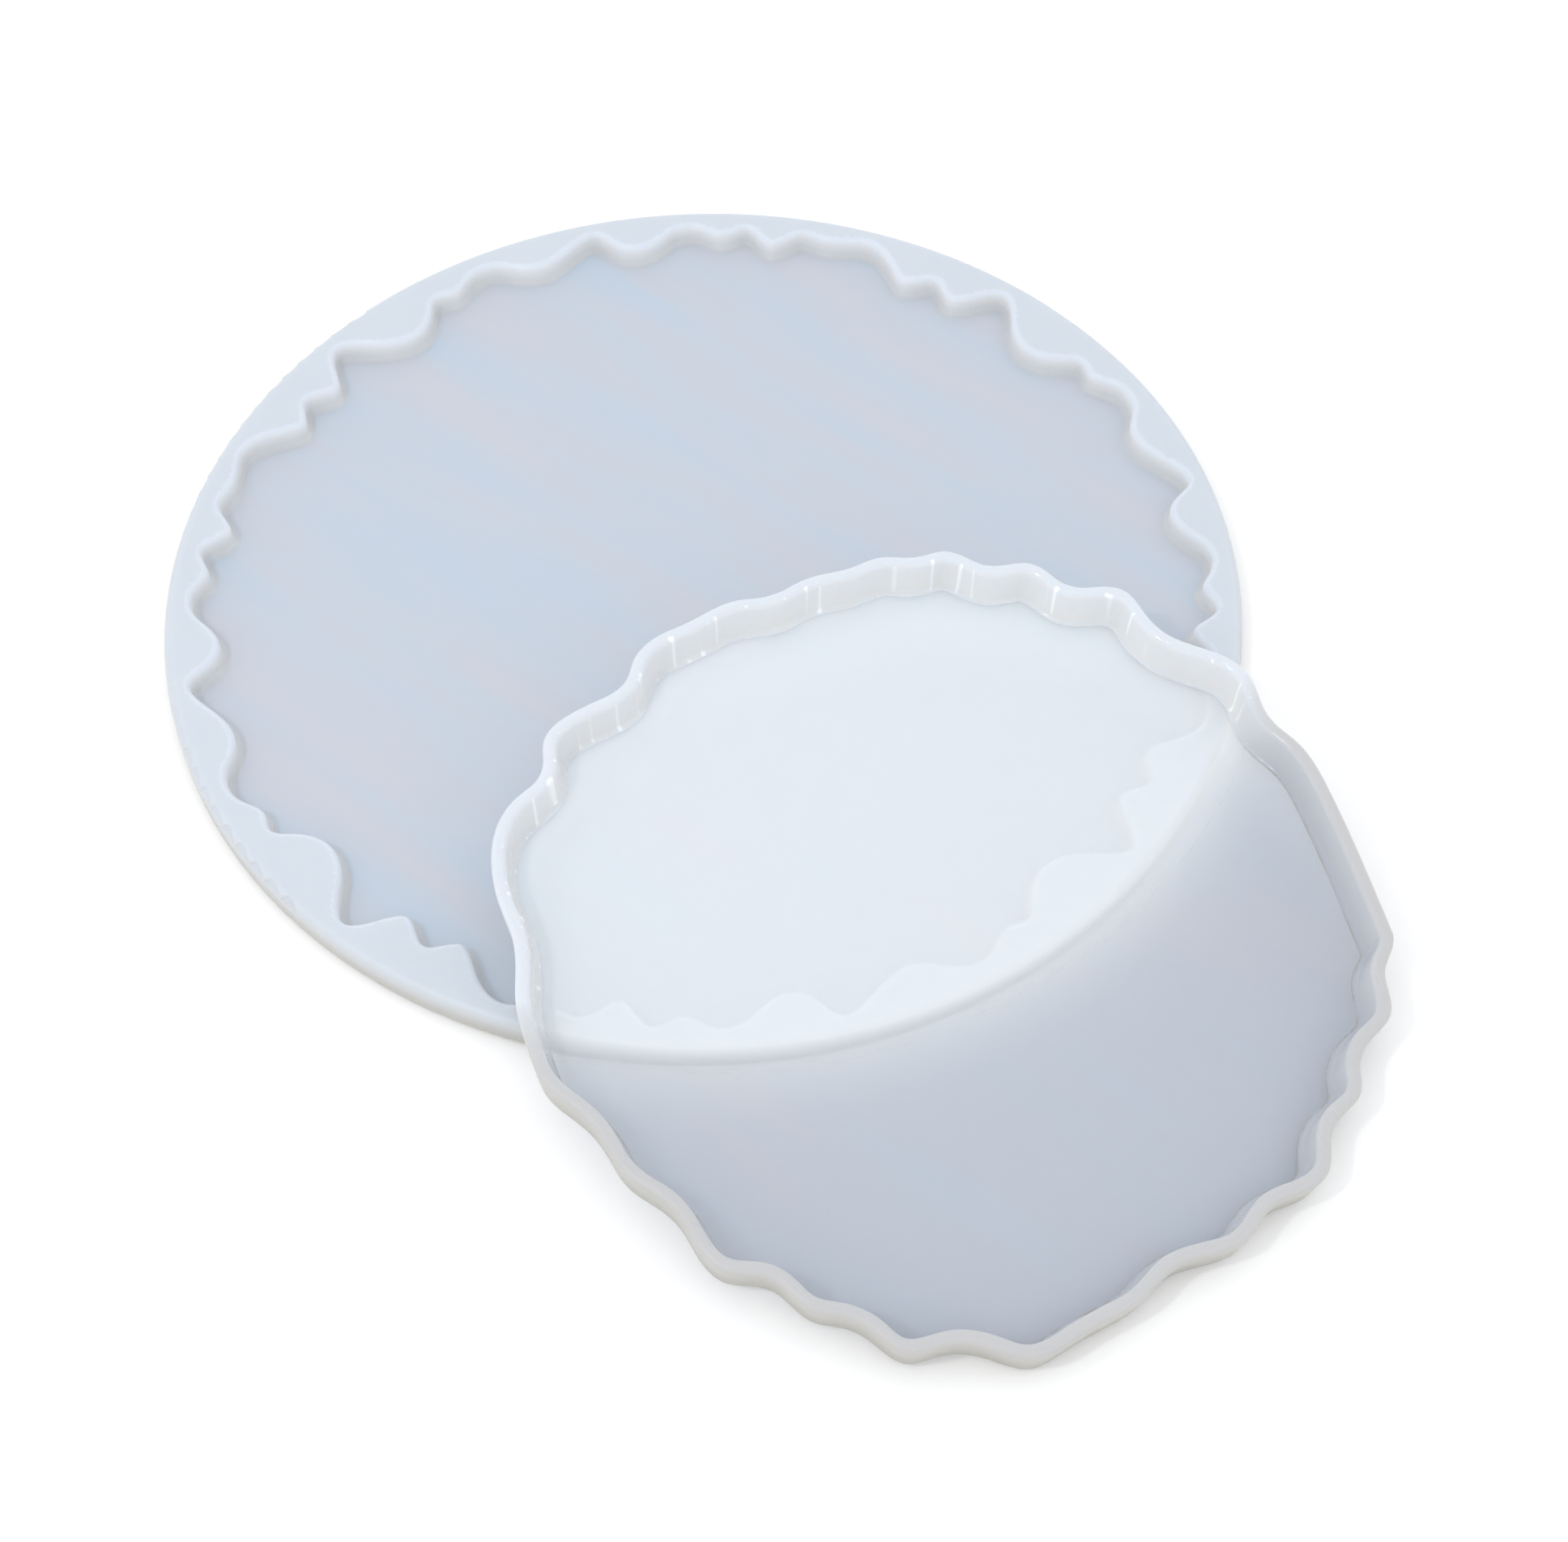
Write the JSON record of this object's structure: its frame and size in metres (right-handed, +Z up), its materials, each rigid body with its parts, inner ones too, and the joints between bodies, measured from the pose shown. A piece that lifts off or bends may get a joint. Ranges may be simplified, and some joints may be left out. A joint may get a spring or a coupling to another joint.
{
  "type": "resin casting mould set",
  "caption": "Shallow round silicone mould with a scalloped cavity edge, and a thin-walled wavy one leaning on its rim, for casting agate-style resin trays.",
  "frame": {"origin": "under the middle of the round mould, on the surface that it lies on", "axes": "+Z up out of the round mould's cavity, +X to the right and +Y away as the set is laid out, with the wavy mould leaning towards +X and -Y"},
  "size_m": [0.2588, 0.3042, 0.0257],
  "materials": {
    "silicone": "satin"
  },
  "bodies": {
    "round_mould": {"round_tray_mould": "silicone"},
    "wavy_mould": {"wavy_tray_mould": "silicone"}
  },
  "joints": [
    {"name": "wavy_mould_lift", "type": "slide", "parent": "round_mould", "child": "wavy_mould", "axis": [0, 0, 1], "range_m": [0, 0.06]}
  ]
}
